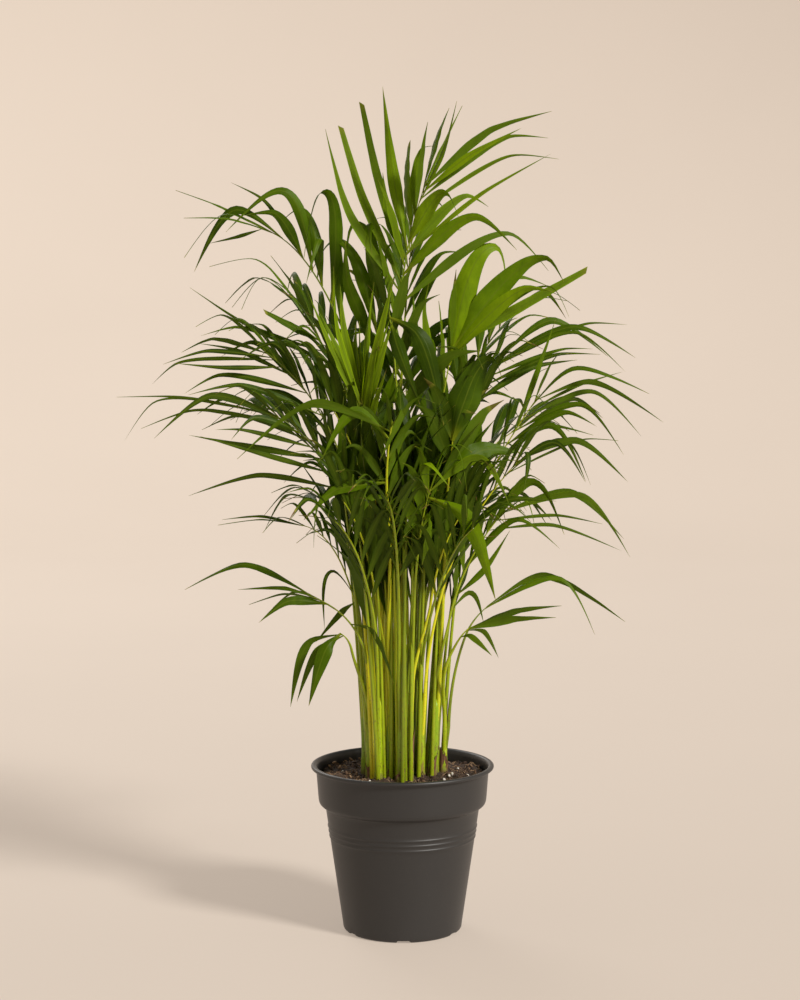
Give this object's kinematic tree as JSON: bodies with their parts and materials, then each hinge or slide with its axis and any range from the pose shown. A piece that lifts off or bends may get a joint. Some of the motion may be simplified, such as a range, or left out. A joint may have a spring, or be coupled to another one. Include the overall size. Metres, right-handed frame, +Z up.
{
  "type": "potted palm",
  "caption": "Bushy clump of feather-leaved palm canes growing from potting mix in a round tapered plastic nursery pot.",
  "frame": {"origin": "centre of the pot's flat base, on the surface it stands on", "axes": "+Z up along the pot's axis, -Y towards the front, +X to the right seen from the front"},
  "size_m": [0.4958, 0.4657, 0.7798],
  "materials": {
    "pot_plastic": "satin",
    "potting_mix": "matte",
    "cane_green": "satin",
    "leaf_green": "satin"
  },
  "bodies": {
    "root": {"pot": "pot_plastic", "soil": "potting_mix", "cane_01": "cane_green", "cane_02": "cane_green", "cane_03": "cane_green", "cane_04": "cane_green", "cane_05": "cane_green", "cane_06": "cane_green", "cane_07": "cane_green", "cane_08": "cane_green", "cane_09": "cane_green", "cane_10": "cane_green", "cane_11": "cane_green", "cane_12": "cane_green", "cane_13": "cane_green", "cane_14": "cane_green", "cane_15": "cane_green", "cane_16": "cane_green", "cane_17": "cane_green", "frond_crown": "leaf_green", "frond_right_high": "leaf_green", "frond_heart_right": "leaf_green", "frond_heart": "leaf_green", "frond_heart_left": "leaf_green", "frond_fan": "leaf_green", "frond_left_high": "leaf_green", "frond_left_upper": "leaf_green", "frond_left_spray": "leaf_green", "frond_left_low_spray": "leaf_green", "frond_left_wiry": "leaf_green", "frond_left_low": "leaf_green", "frond_left_droop": "leaf_green", "frond_front_left": "leaf_green", "frond_front_right": "leaf_green", "frond_right_mid": "leaf_green", "frond_right_arch": "leaf_green", "frond_right_spray": "leaf_green", "frond_right_dark": "leaf_green", "frond_right_low": "leaf_green", "frond_right_low_arch": "leaf_green", "frond_fore_left": "leaf_green", "frond_fore_centre": "leaf_green", "frond_fore_right": "leaf_green", "frond_inner_left": "leaf_green", "frond_inner_right": "leaf_green", "frond_inner_low_left": "leaf_green", "frond_inner_low_right": "leaf_green", "frond_back_left_high": "leaf_green", "frond_back_high": "leaf_green", "frond_back_right_high": "leaf_green", "frond_back_centre": "leaf_green", "frond_back_left": "leaf_green", "frond_back_right": "leaf_green", "frond_back_low_left": "leaf_green", "frond_back_low_right": "leaf_green"}
  },
  "joints": []
}
